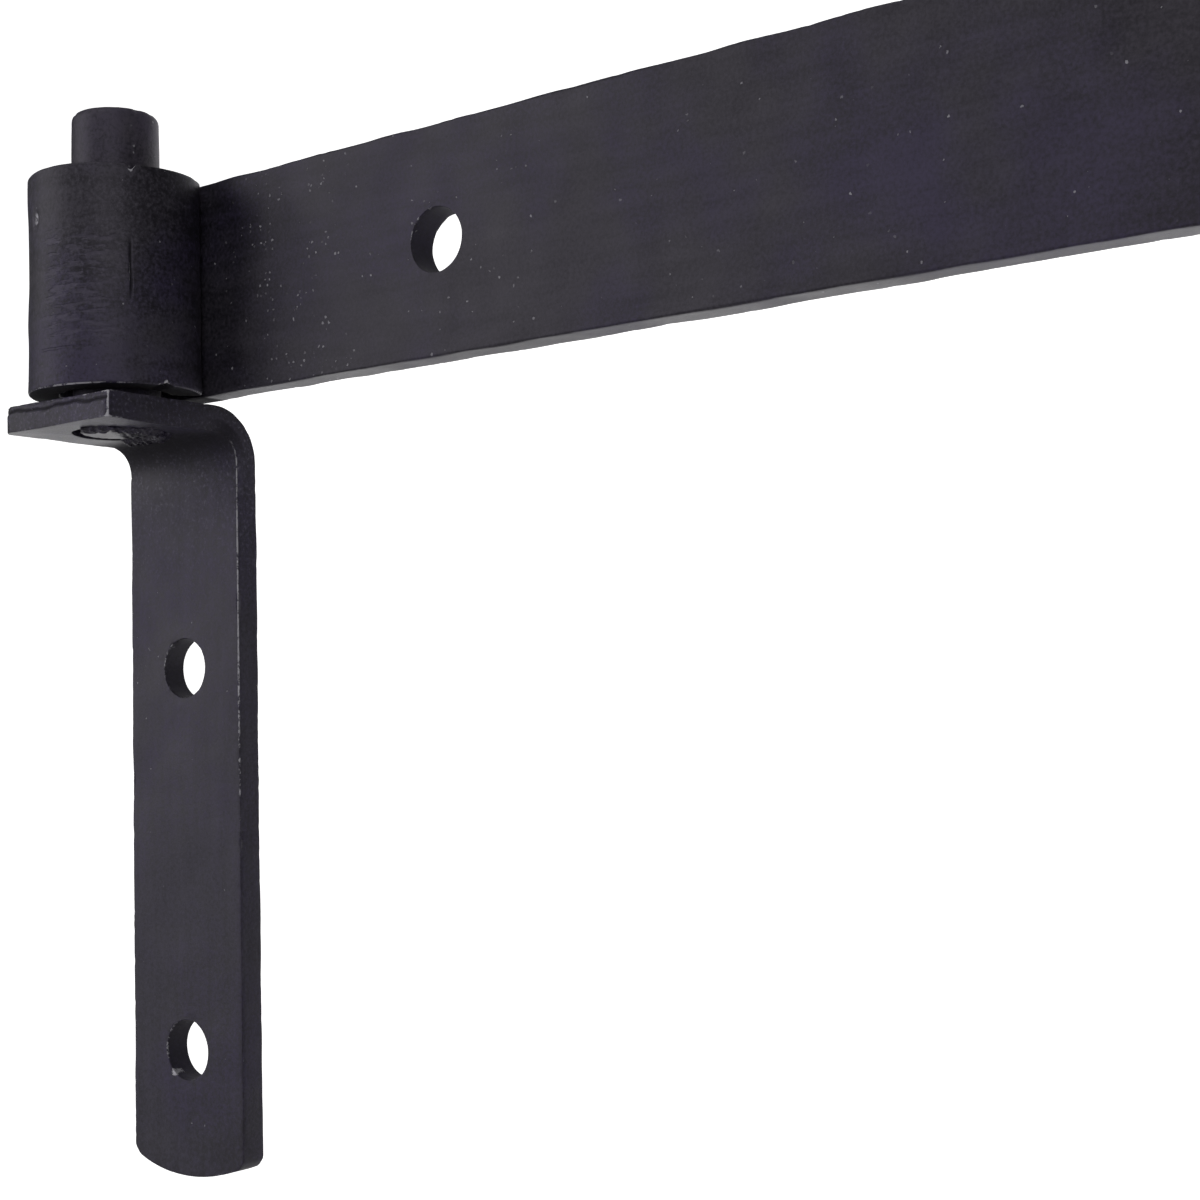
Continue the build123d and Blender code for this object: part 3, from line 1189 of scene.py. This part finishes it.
plug_height = pin_low.z - shelf_bottom
plug_radius = pin_radius - 0.75 * MM
off_centre = 0.6 * MM
plug = [(plug_radius * 0.93, -0.1 * MM), (plug_radius, 0.25 * MM), (plug_radius, plug_height)]
weld = turned("weld_bead", plug, 64)
weld.data.transform(Matrix.Translation((off_centre, 0, 0)))
add_tree(
    weld,
    weld_tree(),
    ring_radius=pin_radius,
    bead_radius=1.7 * MM,
    start=math.radians(-80),
    sweep=math.radians(205),
    puddles=20,
    seed=4,
    finish=weld_black,
)
bake(weld)
settle(weld, Matrix.Translation((pin_x, pin_y, shelf_bottom)))

# %% [markdown]
# ## Floor, light and camera
#
# A dark satin surface shows mostly what it reflects, so the lights are large
# and soft: a tall one to the left, a smaller one to the right, a broad one
# above, and a pale sweep below and behind.  The sweep is a floor that curves
# up into a wall, so no horizon crosses the picture.  Its back glows with
# painted light, brighter on the left and fading to the right.


# %% A pale sweep
def sweep(floor_z, front, back, curve, height, half_width):
    """A floor that turns up into a wall through a quarter circle."""
    profile = [(front, floor_z)]
    for i in range(17):
        angle = quarter * i / 16
        profile.append((back - curve + curve * math.sin(angle), floor_z + curve - curve * math.cos(angle)))
    profile.append((back, floor_z + height))
    verts = [(x, y, z) for y, z in profile for x in (-half_width, half_width)]
    faces = [[2 * i, 2 * i + 1, 2 * i + 3, 2 * i + 2] for i in range(len(profile) - 1)]
    return new_piece("floor", verts, faces)


GREY_PAPER = (0.5, 0.5, 0.5)
WHITE_PAPER = (0.86, 0.86, 0.86)
floor_z = plate_low.z - 0.16
floor = sweep(floor_z, front=-3.0, back=3.0, curve=1.0, height=3.5, half_width=4.5)
paper = bpy.data.materials.new("pale_paper")
paper.use_nodes = True
paper_tree = paper.node_tree
paper_shader = paper_tree.nodes["Principled BSDF"]
paper_shader.inputs["Roughness"].default_value = 0.9
paper_shader.inputs["Emission Color"].default_value = (1, 1, 1, 1)
across, back, _ = split(paper_tree, object_place(paper_tree))
pale = ramp(paper_tree, back, -0.3, 0.3)
pale_colour = blend_colours(paper_tree, pale, GREY_PAPER, WHITE_PAPER)
paper_tree.links.new(pale_colour, paper_shader.inputs["Base Color"])
# Painted light: the sweep glows, brightest at the back and on the left.
back_glow = ramp(paper_tree, back, 0.12, 0.55, 0.08, 0.95)
left_glow = ramp(paper_tree, across, 0.1, 1.3, 1.0, 0.15)
paper_tree.links.new(times(paper_tree, back_glow, left_glow), paper_shader.inputs["Emission Strength"])
floor.data.materials.append(paper)
print("floor at", round(floor_z, 3), "m")

# %% [markdown]
# ## Lights
#
# Each light is an area lamp as large as a window, about 1.5 m away, so that
# the black iron gets broad, soft sheens and no hard spots.


# %% Lights
def softbox(name, place, target, size, power):
    light = bpy.data.lights.new(name, "AREA")
    light.shape = "RECTANGLE"
    light.size = size[0]
    light.size_y = size[1]
    light.energy = power
    lamp = bpy.data.objects.new(name, light)
    lamp.location = place
    lamp.rotation_euler = (Vector(target) - Vector(place)).to_track_quat("-Z", "Y").to_euler()
    bpy.context.scene.collection.objects.link(lamp)
    return lamp


aim = (0.05, pin_y, 0.03)
softbox("left_window", (-1.2, -1.2, 0.45), aim, (1.5, 1.6), 9.9)
softbox("front_fill", (1.0, -1.2, 0.35), aim, (1.0, 1.0), 5.0)
softbox("overhead", (0.1, -0.6, 1.5), aim, (1.6, 1.2), 5)

world = bpy.data.worlds.new("studio")
bpy.context.scene.world = world
world.use_nodes = True
background = world.node_tree.nodes["Background"].inputs
background["Color"].default_value = (1, 1, 1, 1)
background["Strength"].default_value = 0.08
bpy.context.scene.view_settings.view_transform = "Standard"
print("lights:", [light.name for light in bpy.data.lights])

# %% [markdown]
# ## Camera
#
# The camera stands to the right of the hinge and a little below the band, so
# the underside of the shelf and the front of the eye both show.  Its turn is
# built from the direction ahead, then rolled a little, as a hand-held camera
# is.

# %% Camera
camera_data = bpy.data.cameras.new("camera")
camera = bpy.data.objects.new("camera", camera_data)
bpy.context.scene.collection.objects.link(camera)
bpy.context.scene.camera = camera
yaw = math.radians(36.92)
pitch = math.radians(3.65)
roll = math.radians(-1.26)
ahead = Vector((-math.sin(yaw) * math.cos(pitch), math.cos(yaw) * math.cos(pitch), math.sin(pitch)))
level = Vector((math.cos(yaw), math.sin(yaw), 0))
upward = level.cross(ahead)
right = level * math.cos(roll) + upward * math.sin(roll)
up = upward * math.cos(roll) - level * math.sin(roll)
turn = Matrix((right, up, -ahead)).transposed().to_4x4()
camera.matrix_world = Matrix.Translation((0.28944, -0.25857, 0.02292)) @ turn
camera_data.sensor_width = 36
camera_data.lens = 59.65
camera_data.clip_start = 0.01
camera_data.clip_end = 50
print("camera at", [round(value, 3) for value in camera.location])

# %% [markdown]
# ## Handing over
#
# Each piece rides on its body and stands for its CAD node.

# %% Ride and replace
for piece, body, node, slot in (
    (band, "band", "band_strap", "band_black"),
    (plate, "bracket", "pintle_plate", "plate_black"),
    (pin, "bracket", "pintle_pin", "pin_black"),
    (weld, "bracket", "pin_weld", "weld_black"),
):
    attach(piece, body)
    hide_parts(node)
